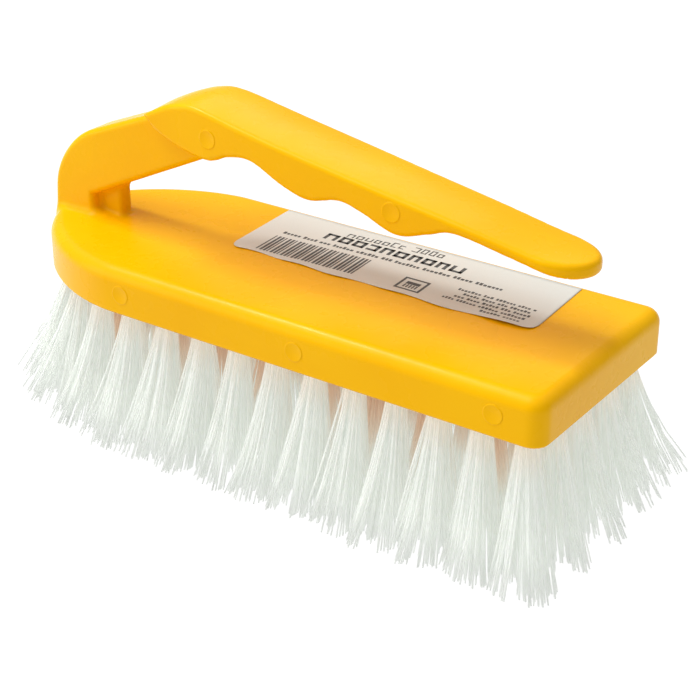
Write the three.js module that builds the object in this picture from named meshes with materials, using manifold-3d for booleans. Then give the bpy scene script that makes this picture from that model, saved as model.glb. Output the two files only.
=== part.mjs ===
// Hand scrubbing brush: a one-piece moulded block with an open, scalloped grip, tufts set in
// blind holes in its sole, and a sticker on its top. Millimetres, +Z up, +X towards the square
// front, standing on the tips of the tufts with the middle of its bounding box at x = y = 0.
import * as THREE from "three";
import { mergeVertices } from "three/addons/utils/BufferGeometryUtils.js";
import Module from "manifold-3d";

const wasm = await Module();
wasm.setup();

// Block: the front face is at x = 0 and the top at z = 0 until the whole is moved at the end.
const BLOCK_LENGTH = 151.2;
const BLOCK_WIDTH = 55.2;
const BLOCK_HEIGHT = 10.2;
const NOSE_LENGTH = 37;
const NOSE_FULLNESS = 1.72;
const NOSE_POINTS = 40;
const FRONT_CORNER_RADIUS = 4;
const BLOCK_EDGE = 1.6;

// Post and arm: a plate of constant thickness that rises at the rear and leans forwards.
const ARM_THICKNESS = 10;
const ARM_EDGE = 1.2;
const POST_REAR_X = -151.1;
const POST_FRONT_X = -138.5;
const POST_FOOT_FILLET = 2;
const POST_LEAN = 0.097;
const ARM_TOP_SLOPE = 0.4;
const ARM_TOP_Z = 25.9;
const ARM_UNDER_SLOPE = 0.47;
const ARM_UNDER_Z = 10.1;
const ARM_DATUM_X = -128.8;
const ARM_CORNER = 11.5;
const ARM_CORNER_PULL = 0.45;
const ARM_FRONT_X = -98;
const ARM_FRONT_Z = 31;
const SUNK = 3;

// Web: a thinner plate that closes the inner corner between the post and the arm.
const WEB_THICKNESS = 4;
const WEB_FRONT_X = -131.2;
const WEB_FLARE = 2.6;
const WEB_OVERLAP = 3;

// Grip: wider than the arm, widest under the palm, with a rounded free tip above the front face.
const GRIP_REAR_X = -117;
const GRIP_TIP_X = -3.6;
const GRIP_REAR_HALF_WIDTH = 8.4;
const GRIP_PALM_X = -80;
const GRIP_PALM_HALF_WIDTH = 9.5;
const GRIP_FRONT_HALF_WIDTH = 8.2;
const GRIP_TIP_ROUNDING = 10.5;
const GRIP_EDGE = 0.7;
const GRIP_PLAN_DEPTH = 60;
const GRIP_PLAN_MARGIN = 3;
const GRIP_PLATE_MARGIN = 0.3;

// Tufts: fibre bundles in blind holes, leaning outwards below the sole.
const HOLE_RADIUS = 2.45;
const HOLE_DEPTH = 7;
const TUFT_CLEARANCE = 0.3;
const TUFT_FREE_LENGTH = 34;
const TUFT_TIP_RADIUS = 4.6;
const TUFT_LEAN_SIDE = 8.5;
const TUFT_LEAN_FRONT = 3;
const TUFT_LEAN_REAR = 9;
const TUFT_SIDES = 10;
const TUFT_WAIST = 0.3;
const TUFT_INSET = 6.5;
const TUFT_FRONT_X = -6.5;
const RIM_INTERVALS = 14;
const INNER_ROW_Y = 10.6;
const INNER_ROW_PITCH = 14.5;
const INNER_ROW_COUNT = 9;
const CENTRE_ROW_PITCH = 12.75;
const CENTRE_ROW_COUNT = 11;
const HOLE_SIDES = 12;
const HOLE_OVERRUN = 1;

// Sticker on the far half of the top.
const LABEL = { x0: -100.5, x1: -19.2, y0: 0.8, y1: 25.6, thickness: 0.15, gap: 0.05, radius: 3 };

const YELLOW = new THREE.MeshStandardMaterial({ color: 0xfdbe00, roughness: 0.35, metalness: 0 });
const FIBRE = new THREE.MeshStandardMaterial({ color: 0xeceee8, roughness: 0.6, metalness: 0 });
const PAPER = new THREE.MeshStandardMaterial({ color: 0xdfd8cd, roughness: 0.6, metalness: 0 });

const v2 = (x, y) => new THREE.Vector2(x, y);

// Quarter of a superellipse, from the side of the block at (rearX, +-reachY) to the tip of the nose.
class NoseCurve extends THREE.Curve {
  constructor(rearX, reachX, reachY) {
    super();
    Object.assign(this, { rearX, reachX, reachY });
  }

  getPoint(t, target = new THREE.Vector2()) {
    const angle = (t * Math.PI) / 2;
    const power = 2 / NOSE_FULLNESS;
    const back = Math.sin(angle) ** power;
    const side = Math.max(0, Math.cos(angle)) ** power;
    return target.set(this.rearX - this.reachX * back, this.reachY * side);
  }
}

function toSolid(geometry) {
  const bare = geometry.clone();
  bare.deleteAttribute("normal");
  bare.deleteAttribute("uv");
  const merged = mergeVertices(bare, 1e-5);
  return new wasm.Manifold(new wasm.Mesh({
    numProp: 3,
    vertProperties: new Float32Array(merged.attributes.position.array),
    triVerts: new Uint32Array(merged.index.array),
  }));
}

function toGeometry(solid) {
  const mesh = solid.getMesh();
  const geometry = new THREE.BufferGeometry();
  geometry.setAttribute("position", new THREE.BufferAttribute(new Float32Array(mesh.vertProperties), 3));
  geometry.setIndex(new THREE.BufferAttribute(new Uint32Array(mesh.triVerts), 1));
  geometry.computeVertexNormals();
  return geometry;
}

// Shape drawn in the side view (x, z) and thickened evenly either side of y = 0, edges rounded.
function sidePlate(shape, thickness, edge, curveSegments) {
  const options = {
    depth: thickness - 2 * edge,
    bevelEnabled: edge > 0,
    bevelThickness: edge,
    bevelSize: edge,
    bevelOffset: -edge,
    bevelSegments: 3,
    curveSegments,
  };
  const geometry = new THREE.ExtrudeGeometry(shape, options);
  geometry.translate(0, 0, edge - thickness / 2);
  return toSolid(geometry.rotateX(Math.PI / 2));
}

function noseOutline() {
  const half = BLOCK_WIDTH / 2;
  const r = FRONT_CORNER_RADIUS;
  const shape = new THREE.Shape();
  shape.moveTo(NOSE_LENGTH - BLOCK_LENGTH, -half);
  shape.lineTo(-r, -half);
  shape.absarc(-r, r - half, r, -Math.PI / 2, 0, false);
  shape.lineTo(0, half - r);
  shape.absarc(-r, half - r, r, 0, Math.PI / 2, false);
  const nose = new NoseCurve(NOSE_LENGTH - BLOCK_LENGTH, NOSE_LENGTH, half).getSpacedPoints(NOSE_POINTS);
  const farSide = nose.map((point) => v2(point.x, point.y));
  const nearSide = nose.slice(1, -1).reverse().map((point) => v2(point.x, -point.y));
  for (const point of [...farSide, ...nearSide]) {
    shape.lineTo(point.x, point.y);
  }
  shape.closePath();
  return shape;
}

function blockSolid() {
  const geometry = new THREE.ExtrudeGeometry(noseOutline(), {
    depth: BLOCK_HEIGHT - 2 * BLOCK_EDGE,
    bevelEnabled: true,
    bevelThickness: BLOCK_EDGE,
    bevelSize: BLOCK_EDGE,
    bevelOffset: -BLOCK_EDGE,
    bevelSegments: 4,
    curveSegments: 20,
  });
  return toSolid(geometry.translate(0, 0, BLOCK_EDGE - BLOCK_HEIGHT));
}

const armTop = (x) => ARM_TOP_Z + ARM_TOP_SLOPE * (x - ARM_DATUM_X);
const armUnder = (x) => ARM_UNDER_Z + ARM_UNDER_SLOPE * (x - ARM_DATUM_X);

function armSolid() {
  const cornerX = (POST_REAR_X + POST_LEAN * (ARM_TOP_Z - ARM_TOP_SLOPE * ARM_DATUM_X))
    / (1 - POST_LEAN * ARM_TOP_SLOPE);
  const cornerZ = armTop(cornerX);
  const pull = ARM_CORNER_PULL * ARM_CORNER;
  const pocketZ = armUnder(POST_FRONT_X);
  const foot = POST_FOOT_FILLET;
  const shape = new THREE.Shape();
  shape.moveTo(POST_REAR_X - POST_LEAN * SUNK, -SUNK);
  shape.lineTo(POST_FRONT_X + foot, -SUNK);
  shape.lineTo(POST_FRONT_X + foot, 0);
  shape.absarc(POST_FRONT_X + foot, foot, foot, 1.5 * Math.PI, Math.PI, true);
  shape.lineTo(POST_FRONT_X, pocketZ - foot);
  shape.quadraticCurveTo(POST_FRONT_X, pocketZ, POST_FRONT_X + foot, armUnder(POST_FRONT_X + foot));
  shape.lineTo(ARM_FRONT_X, armUnder(ARM_FRONT_X));
  shape.lineTo(ARM_FRONT_X, ARM_FRONT_Z);
  shape.lineTo(GRIP_REAR_X + SUNK, armTop(GRIP_REAR_X + SUNK));
  shape.lineTo(cornerX + ARM_CORNER, armTop(cornerX + ARM_CORNER));
  shape.bezierCurveTo(
    cornerX + pull, armTop(cornerX + pull),
    cornerX - POST_LEAN * pull, cornerZ - pull,
    cornerX - POST_LEAN * ARM_CORNER, cornerZ - ARM_CORNER,
  );
  shape.closePath();
  return sidePlate(shape, ARM_THICKNESS, ARM_EDGE, 10);
}

function webSolid() {
  const top = armUnder(WEB_FRONT_X);
  const shape = new THREE.Shape();
  shape.moveTo(POST_FRONT_X - WEB_OVERLAP, -SUNK);
  shape.lineTo(WEB_FRONT_X + WEB_FLARE, -SUNK);
  shape.lineTo(WEB_FRONT_X + WEB_FLARE, 0);
  shape.absarc(WEB_FRONT_X + WEB_FLARE, WEB_FLARE, WEB_FLARE, 1.5 * Math.PI, Math.PI, true);
  shape.lineTo(WEB_FRONT_X, top - WEB_FLARE);
  shape.quadraticCurveTo(WEB_FRONT_X, top, WEB_FRONT_X + WEB_FLARE, armUnder(WEB_FRONT_X + WEB_FLARE));
  shape.lineTo(WEB_FRONT_X + WEB_FLARE, armUnder(WEB_FRONT_X + WEB_FLARE) + WEB_OVERLAP);
  shape.lineTo(POST_FRONT_X - WEB_OVERLAP, armUnder(POST_FRONT_X) + WEB_OVERLAP);
  shape.closePath();
  return sidePlate(shape, WEB_THICKNESS, 0, 6);
}

// Side view of the grip: crest near the rear, long straight fall, three finger scallops below.
function gripOutline() {
  const over = [v2(-117.4, 31.2), v2(-111.5, 34.2), v2(-107, 35.7), v2(-102.5, 36.2), v2(-97, 35.5),
    v2(-90, 34.1), v2(-78, 31.9), v2(-50, 27.2), v2(-30, 23.9), v2(-14, 21.1), v2(-1, 19.8)];
  const under = [v2(-1, 16.9), v2(-9, 17.4), v2(-20, 19.5), v2(-33, 21.7), v2(-39.5, 20.1),
    v2(-47.3, 18.2), v2(-56, 21.3), v2(-62, 22.7), v2(-70, 21.1), v2(-77, 22.9), v2(-85.5, 26.7),
    v2(-92, 26.3), v2(-98, 24.2), v2(-107, 25.6), v2(-114, 28.3)];
  const shape = new THREE.Shape();
  shape.moveTo(over[0].x, over[0].y);
  shape.splineThru(over.slice(1));
  shape.lineTo(under[0].x, under[0].y);
  shape.splineThru(under.slice(1));
  shape.closePath();
  return shape;
}

// Plan view of the grip, used as a cutter: a slow taper that ends in half an ellipse.
function gripPlan() {
  const shoulder = GRIP_TIP_X - GRIP_TIP_ROUNDING;
  const shape = new THREE.Shape();
  const rear = v2(GRIP_REAR_X - GRIP_PLAN_MARGIN, GRIP_REAR_HALF_WIDTH);
  const palm = v2(GRIP_PALM_X, GRIP_PALM_HALF_WIDTH);
  const front = v2(shoulder, GRIP_FRONT_HALF_WIDTH);
  shape.moveTo(rear.x, -rear.y);
  shape.splineThru([v2(palm.x, -palm.y), v2(front.x, -front.y)]);
  shape.absellipse(shoulder, 0, GRIP_TIP_ROUNDING, front.y, -Math.PI / 2, Math.PI / 2);
  shape.splineThru([palm, rear]);
  shape.closePath();
  const options = { depth: GRIP_PLAN_DEPTH, bevelEnabled: false, curveSegments: 12 };
  return toSolid(new THREE.ExtrudeGeometry(shape, options));
}

function gripSolid() {
  const width = 2 * (GRIP_PALM_HALF_WIDTH + GRIP_PLATE_MARGIN);
  return sidePlate(gripOutline(), width, GRIP_EDGE, 4).intersect(gripPlan());
}

// Places of the tufts: one course that follows the rim, and three straight rows inside it.
function tuftPlaces() {
  const y = BLOCK_WIDTH / 2 - TUFT_INSET;
  const noseX = NOSE_LENGTH - BLOCK_LENGTH;
  const noseRun = NOSE_LENGTH - TUFT_INSET;
  const rim = (side) => {
    const path = new THREE.CurvePath();
    path.add(new THREE.LineCurve(v2(TUFT_FRONT_X, y * side), v2(noseX, y * side)));
    path.add(new NoseCurve(noseX, noseRun, y * side));
    return path.getSpacedPoints(RIM_INTERVALS).slice(0, RIM_INTERVALS);
  };
  const row = (rowY, count, pitch) => {
    const place = (_, i) => v2(TUFT_FRONT_X - i * pitch, rowY);
    return Array.from({ length: count }, place);
  };
  return {
    tuft_right_rim: rim(-1),
    tuft_right_row: row(-INNER_ROW_Y, INNER_ROW_COUNT, INNER_ROW_PITCH),
    tuft_centre_row: row(0, CENTRE_ROW_COUNT, CENTRE_ROW_PITCH),
    tuft_left_row: row(INNER_ROW_Y, INNER_ROW_COUNT, INNER_ROW_PITCH),
    tuft_left_rim: rim(1),
    tuft_nose: [v2(noseX - noseRun, 0)],
  };
}

// A round bundle whose free part flares and leans away from the middle of the sole.
function tuftGeometry(place) {
  const root = HOLE_RADIUS - TUFT_CLEARANCE;
  const topZ = HOLE_DEPTH - BLOCK_HEIGHT - TUFT_CLEARANCE;
  const tipZ = -BLOCK_HEIGHT - TUFT_FREE_LENGTH;
  const middleZ = -BLOCK_HEIGHT - TUFT_FREE_LENGTH / 2;
  const middle = (root + TUFT_TIP_RADIUS) / 2 - TUFT_WAIST;
  const profile = [v2(0, tipZ), v2(TUFT_TIP_RADIUS, tipZ), v2(middle, middleZ), v2(root, -BLOCK_HEIGHT),
    v2(root, topZ), v2(0, topZ)];
  const geometry = new THREE.LatheGeometry(profile, TUFT_SIDES).rotateX(Math.PI / 2);
  const middleX = -BLOCK_LENGTH / 2;
  const along = ((place.x - middleX) / (BLOCK_LENGTH / 2 - TUFT_INSET)) ** 3;
  const leanX = along * (along > 0 ? TUFT_LEAN_FRONT : TUFT_LEAN_REAR);
  const leanY = (TUFT_LEAN_SIDE * place.y) / (BLOCK_WIDTH / 2 - TUFT_INSET);
  const position = geometry.attributes.position;
  for (let i = 0; i < position.count; i += 1) {
    const drop = Math.max(0, -BLOCK_HEIGHT - position.getZ(i)) / TUFT_FREE_LENGTH;
    position.setX(i, position.getX(i) + place.x + leanX * drop);
    position.setY(i, position.getY(i) + place.y + leanY * drop);
  }
  return toGeometry(toSolid(geometry));
}

function holeSolid(place) {
  const length = HOLE_DEPTH + HOLE_OVERRUN;
  const hole = new THREE.CylinderGeometry(HOLE_RADIUS, HOLE_RADIUS, length, HOLE_SIDES).rotateX(Math.PI / 2);
  return toSolid(hole.translate(place.x, place.y, (HOLE_DEPTH - HOLE_OVERRUN) / 2 - BLOCK_HEIGHT));
}

function labelGeometry() {
  const { x0, x1, y0, y1, thickness, gap, radius: r } = LABEL;
  const shape = new THREE.Shape();
  shape.moveTo(x0, y1);
  shape.lineTo(x0, y0 + r);
  shape.absarc(x0 + r, y0 + r, r, Math.PI, 1.5 * Math.PI, false);
  shape.lineTo(x1 - r, y0);
  shape.absarc(x1 - r, y0 + r, r, 1.5 * Math.PI, 2 * Math.PI, false);
  shape.lineTo(x1, y1);
  shape.closePath();
  const options = { depth: thickness, bevelEnabled: false, curveSegments: 5 };
  return new THREE.ExtrudeGeometry(shape, options).translate(0, 0, gap);
}

function blockAndHandle(places) {
  let body = blockSolid().add(armSolid()).add(webSolid()).add(gripSolid());
  for (const place of places) {
    body = body.subtract(holeSolid(place));
  }
  return toGeometry(body);
}

const brush = new THREE.Group();

function addPart(name, geometry, material) {
  const mesh = new THREE.Mesh(geometry, material);
  mesh.name = name;
  brush.add(mesh);
}

const courses = tuftPlaces();
addPart("block_and_handle", blockAndHandle(Object.values(courses).flat()), YELLOW);
addPart("label", labelGeometry(), PAPER);
for (const [course, places] of Object.entries(courses)) {
  places.forEach((place, i) => {
    const name = `${course}_${String(i + 1).padStart(2, "0")}`;
    addPart(name, tuftGeometry(place), FIBRE);
  });
}

// Stand the brush on its tufts, centred on its own bounding box.
const box = new THREE.Box3().setFromObject(brush, true);
const centre = box.getCenter(new THREE.Vector3());
brush.position.set(-centre.x, -centre.y, -box.min.z);

export default brush;
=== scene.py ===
"""Hand scrubbing brush: the looks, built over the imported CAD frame."""

import math

import bpy
import numpy as np
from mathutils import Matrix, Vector


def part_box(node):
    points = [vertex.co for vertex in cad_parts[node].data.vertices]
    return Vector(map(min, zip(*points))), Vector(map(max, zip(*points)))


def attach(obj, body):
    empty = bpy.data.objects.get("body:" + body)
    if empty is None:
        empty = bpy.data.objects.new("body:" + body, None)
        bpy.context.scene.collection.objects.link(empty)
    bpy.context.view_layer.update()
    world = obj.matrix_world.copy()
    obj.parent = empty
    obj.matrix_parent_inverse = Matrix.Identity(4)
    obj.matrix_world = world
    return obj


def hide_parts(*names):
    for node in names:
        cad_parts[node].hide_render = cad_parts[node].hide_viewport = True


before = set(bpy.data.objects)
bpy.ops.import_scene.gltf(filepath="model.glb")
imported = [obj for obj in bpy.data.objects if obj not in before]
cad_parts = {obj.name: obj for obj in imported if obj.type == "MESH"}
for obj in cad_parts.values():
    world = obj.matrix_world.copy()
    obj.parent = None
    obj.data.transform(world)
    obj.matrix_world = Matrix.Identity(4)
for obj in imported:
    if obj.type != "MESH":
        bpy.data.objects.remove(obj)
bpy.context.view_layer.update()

# Lengths below are in millimetres in the block's own frame: x = 0 at the front face and z = 0
# at the top of the block. OFFSET moves them to the frame of the row.
BLOCK_LENGTH = 151.2
BLOCK_WIDTH = 55.2
BLOCK_HEIGHT = 10.2
NOSE_LENGTH = 37.0
NOSE_FULLNESS = 1.72
NOSE_X = NOSE_LENGTH - BLOCK_LENGTH  # where the straight sides end and the nose begins
CORNER_RADIUS = 4.0
TOP_EDGE = 3.2  # rounding of the block's upper edges; it leaves the top face proud by TOP
TOP = 0.58
ARM_HALF, WEB_HALF, GRIP_HALF = 5.0, 2.0, 8.2
TUFT_LENGTH = 34.0
TUFT_INSET = 6.5
HOLE_RADIUS, HOLE_DEPTH = 2.45, 7.0
OFFSET = np.array([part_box("block_and_handle")[1][0] * 1000, 0.0, BLOCK_HEIGHT + TUFT_LENGTH])


def to_row(points):
    """Block-frame millimetres to metres in the row's frame."""
    return (np.asarray(points, float) + OFFSET) / 1000


# ---------------------------------------------------------------- camera
def make_camera():
    data = bpy.data.cameras.new("camera")
    data.lens = 87.93
    data.sensor_width = 36.0
    data.clip_start = 0.01
    data.clip_end = 20.0
    camera = bpy.data.objects.new("camera", data)
    bpy.context.scene.collection.objects.link(camera)
    azimuth, elevation = math.radians(34.92), math.radians(26.75)
    back = Vector((
        math.sin(azimuth) * math.cos(elevation),
        -math.cos(azimuth) * math.cos(elevation),
        math.sin(elevation),
    ))
    camera.location = to_row((134.57, -286.6, 159.0))
    camera.rotation_mode = "QUATERNION"
    camera.rotation_quaternion = (-back).to_track_quat("-Z", "Y")
    bpy.context.scene.camera = camera


make_camera()


# ---------------------------------------------------------------- node material helpers
def srgb(red, green, blue):
    """A colour given as 0-255 display values, as the linear colour the shader takes."""
    def linear(value):
        value /= 255
        return value / 12.92 if value <= 0.04045 else ((value + 0.055) / 1.055) ** 2.4
    return (linear(red), linear(green), linear(blue), 1.0)


class Nodes:
    """A small helper that adds and links shader nodes."""

    def __init__(self, name):
        self.material = bpy.data.materials.new(name)
        self.material.use_nodes = True
        self.tree = self.material.node_tree
        self.shader = self.tree.nodes["Principled BSDF"]
        coordinates = self.tree.nodes.new("ShaderNodeTexCoord")
        self.place = coordinates.outputs["Object"]

    def link(self, source, target):
        self.tree.links.new(source, target)

    def scaled(self, x, y, z):
        """Object coordinates stretched by a factor along each axis."""
        node = self.tree.nodes.new("ShaderNodeMapping")
        node.inputs["Scale"].default_value = (x, y, z)
        self.link(self.place, node.inputs["Vector"])
        return node.outputs["Vector"]

    def noise(self, scale, detail=2.0, vector=None):
        node = self.tree.nodes.new("ShaderNodeTexNoise")
        node.inputs["Scale"].default_value = scale
        node.inputs["Detail"].default_value = detail
        self.link(vector or self.place, node.inputs["Vector"])
        return node.outputs["Fac"]

    def ramp(self, factor, stops):
        """A colour ramp; stops are (position, colour)."""
        node = self.tree.nodes.new("ShaderNodeValToRGB")
        elements = node.color_ramp.elements
        while len(elements) < len(stops):
            elements.new(0.5)
        for element, (position, colour) in zip(elements, stops):
            element.position = position
            element.color = colour
        self.link(factor, node.inputs["Fac"])
        return node.outputs["Color"]

    def remap(self, factor, low, high, start=0.3, end=0.7):
        node = self.tree.nodes.new("ShaderNodeMapRange")
        node.inputs["From Min"].default_value = start
        node.inputs["From Max"].default_value = end
        node.inputs["To Min"].default_value = low
        node.inputs["To Max"].default_value = high
        self.link(factor, node.inputs["Value"])
        return node.outputs["Result"]

    def mix(self, factor, first, second):
        node = self.tree.nodes.new("ShaderNodeMix")
        node.data_type = "RGBA"
        for socket, value in ((node.inputs[0], factor), (node.inputs[6], first),
                              (node.inputs[7], second)):
            if hasattr(value, "links"):
                self.link(value, socket)
            else:
                socket.default_value = value
        return node.outputs[2]

    def height(self, value, distance, strength=1.0):
        """Adds a bump to the shader; distance in metres. Later bumps sit on earlier ones."""
        node = self.tree.nodes.new("ShaderNodeBump")
        node.inputs["Distance"].default_value = distance
        node.inputs["Strength"].default_value = strength
        self.link(value, node.inputs["Height"])
        target = self.shader.inputs["Normal"]
        if target.links:
            self.link(target.links[0].from_socket, node.inputs["Normal"])
        self.link(node.outputs["Normal"], target)

    def set(self, **values):
        for name, value in values.items():
            socket = self.shader.inputs[name.replace("_", " ")]
            if hasattr(value, "links"):
                self.link(value, socket)
            else:
                socket.default_value = value


def yellow_plastic():
    """Glossy polypropylene: slow colour drift, faint flow marks and a fine moulded grain."""
    n = Nodes("yellow_plastic")
    drift = n.noise(28, 2)
    flow = n.noise(22, 3, n.scaled(1, 5, 3))
    base = n.ramp(drift, [(0.3, srgb(240, 175, 0)), (0.7, srgb(244, 184, 0))])
    streaked = n.mix(n.remap(flow, 0.0, 0.22, 0.45, 0.75), base, srgb(248, 191, 0))
    n.set(Base_Color=streaked, Roughness=n.remap(n.noise(160, 3), 0.24, 0.32))
    n.set(Specular_IOR_Level=0.13, Specular_Tint=(1.0, 0.86, 0.5, 1.0))
    n.height(n.noise(34, 2), 0.00022, 0.25)
    n.height(n.noise(1500, 3), 0.00001, 0.08)
    return n.material


def white_filament(name, root_shade_colour, reach):
    """Milky extruded filament: each strand a little different, with painted shade and painted
    yellow bounce light towards the block. The painted tint fades out over the reach below
    the face that holds the tufts. The filament also glows a little, which is painted light."""
    n = Nodes(name)
    strand = n.noise(1, 1, n.scaled(2600, 2600, 18))
    strands = n.ramp(strand, [
        (0.28, srgb(237, 239, 236)), (0.50, srgb(243, 245, 242)), (0.72, srgb(247, 248, 246)),
    ])
    # Painted shade and painted yellow bounce light: the strands take the root colour near the
    # block's underside.
    separate = n.tree.nodes.new("ShaderNodeSeparateXYZ")
    n.link(n.place, separate.inputs["Vector"])
    root = TUFT_LENGTH / 1000
    root_shade_mask = n.remap(separate.outputs["Z"], 0.0, 0.9, root - reach, root - 0.15 * reach)
    colour = n.mix(root_shade_mask, strands, root_shade_colour)
    n.set(Base_Color=colour, Roughness=n.remap(n.noise(900, 2), 0.38, 0.55))
    # The emission is painted light: the filaments glow a little, warm near the block, to brighten
    # them and the gaps between them.
    n.set(Specular_IOR_Level=0.3, Emission_Color=colour, Emission_Strength=0.28)
    n.height(n.noise(3000, 1), 0.00001, 0.2)
    through = n.tree.nodes.new("ShaderNodeBsdfTranslucent")
    n.link(colour, through.inputs["Color"])
    blend = n.tree.nodes.new("ShaderNodeMixShader")
    blend.inputs["Fac"].default_value = 0.55
    n.link(n.shader.outputs["BSDF"], blend.inputs[1])
    n.link(through.outputs["BSDF"], blend.inputs[2])
    n.link(blend.outputs["Shader"], n.tree.nodes["Material Output"].inputs["Surface"])
    return n.material


def label_paper():
    """Coated sticker paper: faint fibres and a slight warm drift."""
    n = Nodes("label_paper")
    drift = n.ramp(n.noise(18, 2), [(0.35, srgb(210, 210, 203)), (0.7, srgb(219, 214, 203))])
    fibres = n.noise(2200, 4, n.scaled(1, 3, 1))
    n.set(Base_Color=n.mix(n.remap(fibres, 0.0, 0.35, 0.5, 0.8), drift, srgb(200, 194, 184)))
    n.set(Roughness=n.remap(n.noise(300, 2), 0.42, 0.55), Specular_IOR_Level=0.4)
    n.height(fibres, 0.00002, 0.4)
    return n.material


def label_ink():
    """Dark grey print that lets a little of the paper's grain through."""
    n = Nodes("label_ink")
    grain = n.noise(1800, 3)
    n.set(Base_Color=n.ramp(grain, [(0.35, srgb(62, 61, 58)), (0.75, srgb(104, 101, 96))]))
    n.set(Roughness=n.remap(grain, 0.45, 0.6), Specular_IOR_Level=0.3)
    n.height(grain, 0.00001, 0.3)
    return n.material


def anchor_wire():
    """Bright drawn wire with fine length-wise marks."""
    n = Nodes("anchor_wire")
    marks = n.noise(900, 3, n.scaled(1, 6, 1))
    n.set(Base_Color=n.ramp(marks, [(0.3, srgb(150, 150, 152)), (0.7, srgb(196, 196, 198))]))
    n.set(Metallic=1.0, Roughness=n.remap(marks, 0.25, 0.42))
    n.height(marks, 0.00002, 0.4)
    return n.material


# ---------------------------------------------------------------- piece helpers
def add_piece(name, vertices, faces, material, smooth=True):
    mesh = bpy.data.meshes.new(name)
    vertices = np.asarray(vertices, np.float32)
    faces = np.asarray(faces, np.int32)
    mesh.from_pydata(vertices.tolist(), [], faces.tolist())
    mesh.update()
    mesh.polygons.foreach_set("use_smooth", np.full(len(mesh.polygons), smooth))
    mesh.materials.append(material)
    piece = bpy.data.objects.new(name, mesh)
    bpy.context.scene.collection.objects.link(piece)
    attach(piece, "root")
    return piece


# ---------------------------------------------------------------- outlines of the moulding
def spline(points, per_span):
    """A uniform Catmull-Rom curve through the points."""
    points = np.asarray(points, float)
    last = len(points) - 1
    t = (np.arange(per_span) / per_span)[:, None]
    out = []
    for i in range(last):
        before, a = points[max(i - 1, 0)], points[i]
        b, after = points[i + 1], points[min(i + 2, last)]
        u, v = (b - before) / 2, (after - a) / 2
        out.append((2 * a - 2 * b + u + v) * t**3 + (3 * b - 3 * a - 2 * u - v) * t**2 + u * t + a)
    return np.vstack(out + [points[-1:]])


def arc(centre, radii, start, end, count):
    angle = np.radians(np.linspace(start, end, count))
    return np.stack([centre[0] + radii[0] * np.cos(angle), centre[1] + radii[1] * np.sin(angle)], 1)


def bezier(points, count):
    a, b, c, d = np.asarray(points, float)
    t = np.linspace(0, 1, count)[:, None]
    return (1 - t)**3 * a + 3 * (1 - t)**2 * t * b + 3 * (1 - t) * t**2 * c + t**3 * d


def nose(reach_x, reach_y, count):
    """Quarter of a superellipse, from the side of the block to the tip of the nose."""
    angle = np.linspace(0, math.pi / 2, count)
    power = 2 / NOSE_FULLNESS
    back, side = np.sin(angle)**power, np.abs(np.cos(angle))**power
    return np.stack([NOSE_X - reach_x * back, reach_y * side], 1)


def block_plan():
    half, r = BLOCK_WIDTH / 2, CORNER_RADIUS
    quarter = nose(NOSE_LENGTH, half, 60)
    return np.vstack([
        arc((-r, r - half), (r, r), -90, 0, 12),
        arc((-r, half - r), (r, r), 0, 90, 12),
        quarter,
        quarter[-2::-1] * (1, -1),
    ])


def arm_top(x):
    return 25.9 + 0.4 * (x + 128.8)


def arm_under(x):
    return 10.1 + 0.47 * (x + 128.8)


def arm_side():
    rear, lean, front, corner, sunk, foot = -151.1, 0.097, -138.2, 11.5, 3.0, 3.2
    corner_x = (rear + lean * arm_top(0)) / (1 - lean * 0.4)
    corner_z = arm_top(corner_x)
    reach = 0.45 * corner
    crown = bezier([
        (corner_x + corner, arm_top(corner_x + corner)),
        (corner_x + reach, arm_top(corner_x + reach)),
        (corner_x - lean * reach, corner_z - reach),
        (corner_x - lean * corner, corner_z - corner),
    ], 24)
    return np.vstack([
        [(rear - lean * sunk, -sunk), (front + foot, -sunk)],
        arc((front + foot, foot), (foot, foot), 270, 180, 12),
        [(front, arm_under(front))],
        [(-98, arm_under(-98)), (-98, 31), (-113, arm_top(-113))],
        crown,
    ])


def web_side():
    front = -131.2
    return np.array([
        (-141.5, -3), (front, -3), (front, arm_under(front)),
        (front + 4, arm_under(front + 4) + 3), (-141.5, arm_under(-141.5) + 5),
    ])


def grip_side():
    over = [(-117.4, 31.2), (-111.5, 34.2), (-107, 35.7), (-102.5, 36.2), (-97, 35.5), (-90, 34.1),
            (-78, 31.9), (-50, 27.2), (-30, 23.9), (-14, 21.1), (-1, 19.8)]
    under = [(-1, 16.9), (-9, 17.4), (-20, 19.5), (-33, 21.7), (-39.5, 20.1), (-47.3, 18.2),
             (-56, 21.3), (-62, 22.7), (-70, 21.1), (-77, 22.9), (-85.5, 26.7), (-92, 26.3),
             (-98, 24.2), (-107, 25.6), (-114, 28.3)]
    return np.vstack([spline(over, 10), spline(under, 10)])


def grip_plan():
    tip_x = -14.1
    tip = arc((tip_x, 0), (10.5, GRIP_HALF), -90, 90, 30)
    side = spline([(tip_x, GRIP_HALF), (-80, 9.5), (-120, 8.4)], 24)[1:]
    return np.vstack([tip, side, side[::-1] * (1, -1)])


def tuft_places():
    """Hole centres: one course that follows the rim and three straight rows inside it."""
    front = -TUFT_INSET
    y, run = BLOCK_WIDTH / 2 - TUFT_INSET, NOSE_LENGTH - TUFT_INSET
    row_y, row_pitch, centre_pitch = 10.6, 14.5, 12.75
    path = np.vstack([[(front, y)], nose(run, y, 400)])
    along = np.concatenate([[0], np.cumsum(np.linalg.norm(np.diff(path, axis=0), axis=1))])
    stations = np.linspace(0, along[-1], 15)[:14]
    rim = np.stack([np.interp(stations, along, path[:, k]) for k in (0, 1)], 1)

    def row(at, count, pitch):
        return np.array([(front - i * pitch, at) for i in range(count)])

    return {
        "right_rim": rim * (1, -1), "right_row": row(-row_y, 9, row_pitch),
        "centre_row": row(0, 11, centre_pitch), "left_row": row(row_y, 9, row_pitch),
        "left_rim": rim, "nose": np.array([(NOSE_X - run, 0)]),
    }


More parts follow.
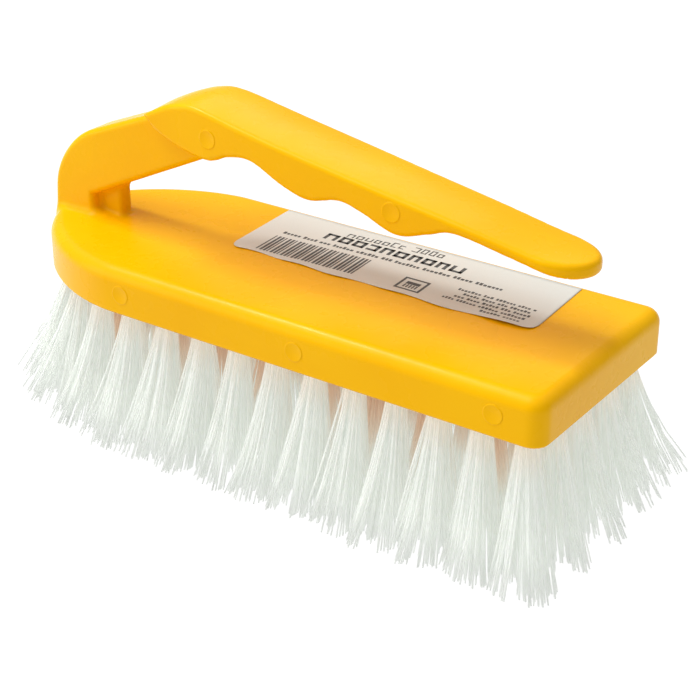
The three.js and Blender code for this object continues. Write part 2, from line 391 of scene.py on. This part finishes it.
COURSES = tuft_places()
PLACES = np.vstack(list(COURSES.values()))


# ---------------------------------------------------------------- the moulding as a distance field
FINE = 0.25  # spacing of the flat grids


class Flat:
    """A signed distance in a plane, negative inside, kept on a fine grid."""

    def __init__(self, low, high, distance):
        self.low = np.array(low, float)
        count = np.ceil((np.array(high) - low) / FINE).astype(int) + 1
        u = self.low[0] + FINE * np.arange(count[0])[:, None]
        v = self.low[1] + FINE * np.arange(count[1])[None, :]
        self.values = distance(u, v)

    def __call__(self, u, v):
        a, b = (u - self.low[0]) / FINE, (v - self.low[1]) / FINE
        i = np.clip(np.floor(a).astype(int), 0, self.values.shape[0] - 2)
        j = np.clip(np.floor(b).astype(int), 0, self.values.shape[1] - 2)
        s, t = a - i, b - j
        grid = self.values
        near = grid[i, j] * (1 - s) + grid[i + 1, j] * s
        far = grid[i, j + 1] * (1 - s) + grid[i + 1, j + 1] * s
        return near * (1 - t) + far * t


def outline_distance(outline):
    """A function that gives the signed distance to a closed outline."""
    def distance(u, v):
        best = np.full(np.broadcast(u, v).shape, np.inf)
        inside = np.zeros(best.shape, bool)
        for a, b in zip(outline, np.roll(outline, -1, axis=0)):
            d = b - a
            length = float(d @ d)
            if length < 1e-12:
                continue
            t = np.clip(((u - a[0]) * d[0] + (v - a[1]) * d[1]) / length, 0, 1)
            best = np.minimum(best, (u - a[0] - t * d[0])**2 + (v - a[1] - t * d[1])**2)
            if a[1] != b[1]:
                crosses = (a[1] > v) != (b[1] > v)
                inside ^= crosses & (u < d[0] * (v - a[1]) / d[1] + a[0])
        return np.where(inside, -1, 1) * np.sqrt(best)
    return distance


def hole_distance(u, v):
    best = np.full(np.broadcast(u, v).shape, np.inf)
    for x, y in PLACES:
        best = np.minimum(best, np.hypot(u - x, v - y))
    return best - HOLE_RADIUS


def both(a, b, edge):
    """Where two solids meet, with their common edge rounded."""
    a, b = a + edge, b + edge
    return np.minimum(np.maximum(a, b), 0) + np.hypot(np.maximum(a, 0), np.maximum(b, 0)) - edge


def joined(a, b, fillet):
    """Two solids as one, with a round fillet in the corner between them."""
    inner = np.hypot(np.maximum(fillet - a, 0), np.maximum(fillet - b, 0))
    return np.maximum(np.minimum(a, b), fillet) - inner


PLAN_BOX = ((-155, -31), (3, 31))
SIDE_BOX = ((-155, -13), (3, 40))
PLAN = Flat(*PLAN_BOX, outline_distance(block_plan()))
HOLES = Flat(*PLAN_BOX, hole_distance)
GRIP_PLAN = Flat(*PLAN_BOX, outline_distance(grip_plan()))
ARM_SIDE = Flat(*SIDE_BOX, outline_distance(arm_side()))
WEB_SIDE = Flat(*SIDE_BOX, outline_distance(web_side()))
GRIP_SIDE = Flat(*SIDE_BOX, outline_distance(grip_side()))
GRIP_MIDDLE = ((-117, -102, -50, -14, -1), (31, 31, 24, 19.5, 18.3))  # height along x
GRIP_CROWN = 0.6


def moulding(x, y, z):
    """Signed distance to the whole one-piece moulding."""
    middle, half = (TOP - BLOCK_HEIGHT) / 2, (TOP + BLOCK_HEIGHT) / 2
    edge = np.where(z > middle, TOP_EDGE, 0.5)
    body = both(PLAN(x, y), np.abs(z - middle) - half, edge)
    arm = both(ARM_SIDE(x, z), np.abs(y) - ARM_HALF, 1.5)
    web = both(WEB_SIDE(x, z), np.abs(y) - WEB_HALF, 1.4)
    above = np.clip((z - np.interp(x, *GRIP_MIDDLE)) / 3, 0, 1)
    crown = GRIP_CROWN * np.clip(1 - (y / GRIP_HALF)**2, 0, 1) * above
    grip = both(GRIP_SIDE(x, z - crown), GRIP_PLAN(x, y), 1.1)
    whole = joined(joined(joined(body, arm, 2.0), web, 1.3), grip, 0.4)
    holes = np.maximum(HOLES(x, y), z - (HOLE_DEPTH - BLOCK_HEIGHT))
    return np.maximum(whole, -holes)


def surface_net(field, low, step):
    """Quads over the zero surface of a field sampled on a grid."""
    inside = field < 0
    size = np.array(field.shape) - 1
    corners = [np.array((i, j, k)) for i in (0, 1) for j in (0, 1) for k in (0, 1)]
    count = np.zeros(size, np.int8)
    for i, j, k in corners:
        count += inside[i:i + size[0], j:j + size[1], k:k + size[2]]
    active = (count > 0) & (count < 8)
    cells = np.argwhere(active)
    index = np.full(active.shape, -1)
    index[active] = np.arange(len(cells))
    total, hits = np.zeros((len(cells), 3)), np.zeros(len(cells))
    for a in corners:
        for b in corners:
            if (b - a).sum() != 1 or (b - a).min() < 0:
                continue
            fa, fb = field[tuple((cells + a).T)], field[tuple((cells + b).T)]
            crosses = (fa < 0) != (fb < 0)
            t = np.where(crosses, fa / np.where(crosses, fa - fb, 1), 0)
            total += (a + t[:, None] * (b - a)) * crosses[:, None]
            hits += crosses
    vertices = low + step * (cells + total / hits[:, None])
    faces = []
    for axis in range(3):
        along, u, v = np.eye(3, dtype=int)[[axis, (axis + 1) % 3, (axis + 2) % 3]]
        lower = [slice(None)] * 3
        upper = [slice(None)] * 3
        lower[axis], upper[axis] = slice(0, -1), slice(1, None)
        first, second = inside[tuple(lower)], inside[tuple(upper)]
        for out, change in ((True, first & ~second), (False, second & ~first)):
            at = np.argwhere(change)
            ring = [index[tuple((at - shift).T)] for shift in (u + v, v, 0 * u, u)]
            ring = np.stack(ring if out else ring[::-1], 1)
            faces.append(ring)
    return vertices, np.vstack(faces)


def gradient(points, reach):
    """Slope of the distance field, by central differences."""
    out = np.empty_like(points)
    for k in range(3):
        move = np.zeros(3)
        move[k] = reach
        out[:, k] = moulding(*(points + move).T) - moulding(*(points - move).T)
    return out / (2 * reach)


def build_moulding(material):
    """The surface net, drawn onto the true surface along the slope of the field."""
    step = 0.7
    low, high = np.array([-153.3, -29.4, -12.1]), np.array([2.1, 29.4, 39.2])
    axes = [np.arange(a, b, step) for a, b in zip(low, high)]
    field = moulding(*np.meshgrid(*axes, indexing="ij"))
    vertices, faces = surface_net(field, low, step)
    for _ in range(4):
        slope = gradient(vertices, 0.06)
        size = np.maximum((slope**2).sum(1), 0.25)
        pull = np.clip(moulding(*vertices.T) / size, -0.3, 0.3)
        vertices = vertices - pull[:, None] * slope
    piece = add_piece("block_and_grip", to_row(vertices), faces, material)
    normals = gradient(vertices, 0.12)
    normals /= np.maximum(np.linalg.norm(normals, axis=1), 1e-9)[:, None]
    piece.data.normals_split_custom_set_from_vertices(normals.tolist())
    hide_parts("block_and_handle")
    return piece


def build_pin_marks(material):
    """Round marks left by the ejector pins: a shallow disc with a thin raised rim.
    Three are on the near side of the block and two on the near side of the grip."""
    profile = [(0, 0.03), (1.75, 0.03), (1.95, 0.10), (2.15, 0.13), (2.32, 0.08), (2.42, -0.15)]
    places = [(-109.8, -5.1), (-60.5, -5.3), (-11.2, -4.9), (-97.5, 29.6), (-48.3, 23.4)]
    sides = 40
    vertices, faces = [], []
    for x, z in places:
        first = len(vertices)
        for k, (radius, out) in enumerate(profile):
            for i in range(sides if k else 1):
                angle = 2 * math.pi * i / sides
                px, pz = x + radius * math.cos(angle), z + radius * math.sin(angle)
                wall = -BLOCK_WIDTH / 2 if z < 0 else grip_wall(px, pz)
                vertices.append((px, wall - out, pz))
        ring = first + 1
        for i in range(sides):
            faces.append((first, ring + i, ring + (i + 1) % sides))
        for k in range(len(profile) - 2):
            a, b = ring + k * sides, ring + (k + 1) * sides
            for i in range(sides):
                j = (i + 1) % sides
                faces.append((a + i, b + i, b + j))
                faces.append((a + i, b + j, a + j))
    return add_piece("pin_marks", to_row(vertices), faces, material)


def grip_wall(x, z):
    """The near side of the grip at a point of its side view."""
    low, high = -12.0, 0.0
    for _ in range(30):
        middle = (low + high) / 2
        inside = moulding(np.array([x]), np.array([middle]), np.array([z]))[0] < 0
        low, high = (low, middle) if inside else (middle, high)
    return high


# ---------------------------------------------------------------- tufts
FILAMENTS = 110
CLUMPS = 14
FILAMENT_RADIUS = 0.25
ROOT_RADIUS = 2.15
SIDES = 4
SIDE_LEAN, FRONT_LEAN, REAR_LEAN = 7.0, 4.9, 10.5


def tuft_lean(place):
    """How far the middle of a tuft's tip stands out from its hole, along x and y."""
    middle = -BLOCK_LENGTH / 2
    along = ((place[0] - middle) / (BLOCK_LENGTH / 2 - TUFT_INSET))**3
    across = place[1] / (BLOCK_WIDTH / 2 - TUFT_INSET)
    return np.array([along * (FRONT_LEAN if along > 0 else REAR_LEAN), SIDE_LEAN * across])


def build_tuft(name, place, seed, material):
    """A bundle of filaments folded into its hole, fanning out to an uneven trimmed end."""
    rng = np.random.default_rng(seed)
    angle = rng.uniform(0, 2 * math.pi, FILAMENTS)
    spread = np.sqrt(rng.uniform(0, 1, FILAMENTS))
    disc = np.stack([np.cos(angle), np.sin(angle)], 1) * spread[:, None]
    # Filaments gather towards the nearest of a few random clumps.
    clumps = rng.normal(0, 0.6, (CLUMPS, 2))
    clumps *= np.minimum(0.9 / np.linalg.norm(clumps, axis=1), 1)[:, None]
    nearest = ((disc[:, None] - clumps[None])**2).sum(2).argmin(1)
    gathered = disc * 0.42 + clumps[nearest] * 0.58
    lean = tuft_lean(place)
    outward = lean / max(np.linalg.norm(lean), 1e-6)
    strength = min(np.linalg.norm(lean) / SIDE_LEAN, 1.0)
    fan = gathered * 5.6 + rng.normal(0, 0.4, (FILAMENTS, 2))
    fan += np.outer((disc @ outward) * 2.2 * strength, outward)
    tip = lean * rng.normal(1.0, 0.07, (FILAMENTS, 1)) + fan
    stray = rng.random(FILAMENTS) < 0.02
    tip[stray] += rng.normal(0, 1.5, (stray.sum(), 2))
    curl = rng.uniform(0.2, 0.6, FILAMENTS)
    bow = rng.normal(0, 0.35, (FILAMENTS, 2))
    trim = rng.gamma(1.6, 0.4, CLUMPS)[nearest] + np.abs(rng.normal(0, 0.4, FILAMENTS))
    # A filament that leans out further than its tuft hangs less deep.
    hang = np.sqrt(TUFT_LENGTH**2 + lean @ lean - (tip**2).sum(1))
    hang = np.minimum(hang, TUFT_LENGTH) - np.minimum(trim, 4.0)
    root_z, tip_z = -BLOCK_HEIGHT, -BLOCK_HEIGHT - hang
    turn = rng.uniform(0, math.pi / 2, FILAMENTS)
    rings = []
    for t in (-0.1, 0.0, 0.22, 0.46, 0.72, 1.0):
        go = max(t, 0.0)
        eased = (1 - curl) * go + curl * go**2
        centre = place + disc * ROOT_RADIUS * 0.93 + tip * eased[:, None]
        centre = centre + bow * math.sin(math.pi * go)
        z = root_z + (tip_z - root_z) * t
        radius = FILAMENT_RADIUS * (1.0 - 0.15 * go)
        ring = []
        for k in range(SIDES):
            a = turn + 2 * math.pi * k / SIDES
            ring.append(np.column_stack([
                centre[:, 0] + radius * np.cos(a), centre[:, 1] + radius * np.sin(a), z,
            ]))
        rings.append(np.stack(ring, 1))
    vertices = np.stack(rings, 1)
    count = vertices.shape[1] * SIDES
    start = (np.arange(FILAMENTS) * count)[:, None]
    faces = []
    for r in range(vertices.shape[1] - 1):
        for k in range(SIDES):
            a, b = r * SIDES + k, r * SIDES + (k + 1) % SIDES
            faces.append(start + np.array([a, a + SIDES, b + SIDES, b]))
    last = (vertices.shape[1] - 1) * SIDES
    faces.append(start + np.array([0, 1, 2, 3]))
    faces.append(start + last + np.array([3, 2, 1, 0]))
    flat = vertices.reshape(-1, 3)
    return add_piece(name, to_row(flat), np.vstack(faces), material)


def build_tufts(outer, inner):
    """Plain white round the outside; the rows inside get a deeper painted shade with painted yellow
    bounce light from the block. The first tuft of each row stands at the front face, so it is an
    outside one too."""
    seed = 100
    for course, places in COURSES.items():
        for i, place in enumerate(places):
            seed += 1
            tag = f"{course}_{i + 1:02d}"
            material = inner if course.endswith("row") and i > 0 else outer
            piece = build_tuft(f"bristles_{tag}", place, seed, material)
            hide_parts(f"tuft_{tag}")


def build_anchors(material):
    """A bent flat wire across each hole that holds the fold of its bundle."""
    across = np.linspace(-2.2, 2.2, 7)
    vertices, faces = [], []
    top = HOLE_DEPTH - BLOCK_HEIGHT - 0.4
    for x, y in PLACES:
        first = len(vertices)
        for u in across:
            sag = 0.35 * (1 - (u / 2.2)**2)
            for dx, dz in ((-0.16, -1.5), (0.16, -1.5), (0.16, 0.0), (-0.16, 0.0)):
                vertices.append((x + dx, y + u, top + dz - sag))
        for r in range(len(across) - 1):
            for k in range(4):
                a, b = first + 4 * r + k, first + 4 * r + (k + 1) % 4
                faces.append((a, b, b + 4, a + 4))
        faces.append((first + 3, first + 2, first + 1, first))
        last = first + 4 * (len(across) - 1)
        faces.append((last, last + 1, last + 2, last + 3))
    return add_piece("tuft_anchors", to_row(vertices), faces, material, smooth=False)


# ---------------------------------------------------------------- label
LABEL = {"x0": -100.3, "x1": -19.2, "y0": -0.25, "y1": 24.55, "radius": 3.0}
LABEL_SKEW = 0.055
LABEL_THICKNESS = 0.12
INK_HALF = 0.02


def skewed(points):
    """The sticker's ends lean a little towards the front of the block."""
    points = np.array(points, float)
    points[:, 0] += LABEL_SKEW * (LABEL["y1"] - points[:, 1])
    return points


def label_edge(x):
    """The near edge of the sticker, cut a little unevenly, with rounded corners."""
    wave = 0.28 * np.sin((x + 96) * 0.20) - 0.25 * np.sin((x + 60) * 0.43) - 0.45
    r = LABEL["radius"]
    near_end = np.minimum(x - LABEL["x0"], LABEL["x1"] - x)
    inset = np.clip(r - near_end, 0, r)
    return LABEL["y0"] + wave + r - np.sqrt(np.maximum(r**2 - inset**2, 0))


def label_lift(x, y):
    """Height of the sticker's underside: loose along its near edge and bent over at the far one."""
    loose = np.clip((4.45 - y) / 5.5, 0, 1.4)**2
    ripple = 0.5 + 0.5 * np.sin((x + 84) * 0.36) * np.sin((x + 40) * 0.11 + 0.6)
    corner = np.exp(-((x + 24) / 7)**2) * 0.5
    over = np.maximum(y - (BLOCK_WIDTH / 2 - TOP_EDGE), 0)
    drop = TOP_EDGE - np.sqrt(TOP_EDGE**2 - over**2)
    return TOP - drop + 0.06 + loose * (0.28 * ripple + corner)


def build_label(material):
    """A closed sheet, with its points closer together along the loose edge."""
    columns, rows = 164, 36
    x = np.linspace(LABEL["x0"], LABEL["x1"], columns)
    share = np.linspace(0, 1, rows)**1.4
    near = label_edge(x)
    u = np.repeat(x[:, None], rows, 1)
    v = near[:, None] + share[None, :] * (LABEL["y1"] - near[:, None])
    under = label_lift(u, v)
    sheet = [np.stack([u, v, under + h], 2).reshape(-1, 3) for h in (0, LABEL_THICKNESS)]
    upper = columns * rows
    faces = []
    for i in range(columns - 1):
        for j in range(rows - 1):
            a = i * rows + j
            faces.append((a, a + 1, a + rows + 1, a + rows))
            faces.append((upper + a, upper + a + rows, upper + a + rows + 1, upper + a + 1))
    loop = [i * rows for i in range(columns)]
    loop += [(columns - 1) * rows + j for j in range(1, rows)]
    loop += [i * rows + rows - 1 for i in range(columns - 2, -1, -1)]
    loop += [j for j in range(rows - 2, 0, -1)]
    for a, b in zip(loop, loop[1:] + loop[:1]):
        faces.append((a, b, upper + b, upper + a))
    points = to_row(skewed(np.vstack(sheet)))
    piece = add_piece("sticker", points, faces, material)
    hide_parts("label")
    return piece


def build_print(material):
    """Generic print: blocks and dashes in place of wording, a plain stripe panel, a pictogram."""
    rng = np.random.default_rng(7)
    bars = []

    def mark(x, y, wide, high, line):
        """One made-up character: a few strokes out of a frame, or a solid block."""
        strokes = [
            (x, y, line, high), (x + wide - line, y, line, high),
            (x, y, wide, line), (x, y + high - line, wide, line),
        ]
        if line * 2.4 > wide:
            bars.append((x, y, wide, high))
            return
        for k in rng.permutation(4)[:int(rng.integers(3, 5))]:
            bars.append(strokes[k])

    def words(x, y, length, tall, letter, gap, line, slope=0.0, even=False):
        at = x
        while at < x + length:
            run = 20 if even else int(rng.integers(3, 8))
            for _ in range(run):
                wide = letter * rng.uniform(0.8, 1.1)
                high = tall if even else tall * rng.choice([0.72, 0.72, 1.0])
                if at + wide > x + length:
                    return
                mark(at, y + slope * (at - x), wide, high, line)
                at += wide + gap
            at += letter * 0.9

    words(-79.5, 18.85, 26.7, 2.6, 1.75, 0.6, 0.36, 0.085)
    words(-83.9, 14.95, 42.0, 3.3, 3.3, 0.75, 0.9, 0.028, True)
    words(-93.5, 11.85, 61.0, 1.25, 0.75, 0.3, 0.5, 0.025)
    for k, start in enumerate((-42.5, -40.3, -41.7, -43.8, -33.3)):
        length = (20.0, 17.5, 19.0, 21.0, 11.0)[k]
        words(start, 8.35 - 1.75 * k, length, 1.0, 0.62, 0.26, 0.5)
    for i in range(28):
        bars.append((-93.9 + i * 0.98, 0.95 + 0.03 * i, 0.6 if i % 3 else 0.34, 9.0))
    bars += [(-55.7, 1.55, 6.6, 0.6), (-55.7, 7.15, 6.6, 0.6)]
    bars += [(-55.7, 2.15, 0.6, 5.0), (-49.7, 2.15, 0.6, 5.0)]
    bars += [(-54.2, 4.65, 3.6, 1.3)] + [(-54.1 + 0.76 * i, 2.85, 0.4, 1.6) for i in range(5)]
    vertices, faces = [], []
    for x, y, wide, high in bars:
        cuts = max(1, int(wide / 1.2)) + 1
        first = len(vertices)
        for i in range(cuts + 1):
            px = x + wide * i / cuts
            for py in (y, y + high):
                z = float(label_lift(px, py)) + LABEL_THICKNESS
                vertices.append((px, py, z - INK_HALF))
                vertices.append((px, py, z + INK_HALF))
        for i in range(cuts):
            a = first + 4 * i
            faces += [(a, a + 4, a + 5, a + 1), (a + 2, a + 3, a + 7, a + 6)]
            faces += [(a + 1, a + 5, a + 7, a + 3), (a, a + 2, a + 6, a + 4)]
        end = first + 4 * cuts
        faces += [(first, first + 1, first + 3, first + 2), (end, end + 2, end + 3, end + 1)]
    points = to_row(skewed(vertices))
    return add_piece("sticker_print", points, faces, material, smooth=False)


# ---------------------------------------------------------------- stage
def make_floor():
    """A wide pale floor that glows a little, so that it stays white round the object."""
    mesh = bpy.data.meshes.new("floor")
    reach = 6.0
    corners = [(-reach, -reach, 0), (reach, -reach, 0), (reach, reach, 0), (-reach, reach, 0)]
    mesh.from_pydata(corners, [], [(0, 1, 2, 3)])
    floor = bpy.data.objects.new("floor", mesh)
    floor.location.z = -0.0002
    bpy.context.scene.collection.objects.link(floor)
    material = bpy.data.materials.new("white_floor")
    material.use_nodes = True
    shader = material.node_tree.nodes["Principled BSDF"]
    shader.inputs["Base Color"].default_value = (0.12, 0.12, 0.12, 1)
    shader.inputs["Roughness"].default_value = 0.9
    shader.inputs["Specular IOR Level"].default_value = 0.0
    shader.inputs["Emission Color"].default_value = (1, 1, 1, 1)
    shader.inputs["Emission Strength"].default_value = 0.95
    mesh.materials.append(material)


def softbox(name, place, size, power):
    """A square area light, in metres and watts, that faces the middle of the object."""
    data = bpy.data.lights.new(name, "AREA")
    data.shape = "SQUARE"
    data.size = size
    data.energy = power
    light = bpy.data.objects.new(name, data)
    light.location = place
    aim = Vector((0, 0, 0.04)) - Vector(place)
    light.rotation_mode = "QUATERNION"
    light.rotation_quaternion = aim.to_track_quat("-Z", "Y")
    bpy.context.scene.collection.objects.link(light)


def make_lights():
    """A white surround that is dim at the horizon and bright overhead, and four soft lights."""
    world = bpy.data.worlds.new("studio")
    bpy.context.scene.world = world
    world.use_nodes = True
    tree = world.node_tree
    background = tree.nodes["Background"]
    background.inputs["Color"].default_value = (1, 1, 1, 1)
    direction = tree.nodes.new("ShaderNodeTexCoord")
    split = tree.nodes.new("ShaderNodeSeparateXYZ")
    strength = tree.nodes.new("ShaderNodeMapRange")
    for socket, value in (("From Min", 0.4), ("From Max", 0.8), ("To Min", 0.28), ("To Max", 0.9)):
        strength.inputs[socket].default_value = value
    tree.links.new(direction.outputs["Generated"], split.inputs["Vector"])
    tree.links.new(split.outputs["Z"], strength.inputs["Value"])
    tree.links.new(strength.outputs["Result"], background.inputs["Strength"])
    softbox("top_soft", (-0.35, -0.25, 0.95), 0.5, 4.0)
    softbox("left_soft", (-0.8, -0.7, 0.45), 0.7, 3.8)
    softbox("key_soft", (-0.52, 0.07, 0.9), 0.18, 3.6)
    softbox("back_soft", (-0.4, 0.66, 0.68), 0.35, 0.6)


make_floor()
make_lights()
bpy.context.scene.view_settings.view_transform = "Standard"

PLASTIC = yellow_plastic()
build_moulding(PLASTIC)
build_pin_marks(PLASTIC)
# The second filament is a shaded copy: deeper painted shade and painted yellow bounce light at the
# roots of the inner rows.
build_tufts(
    white_filament("white_filament", srgb(246, 243, 237), 0.010),
    white_filament("shaded_warm_filament", srgb(234, 202, 168), 0.022),
)
build_anchors(anchor_wire())
build_label(label_paper())
build_print(label_ink())
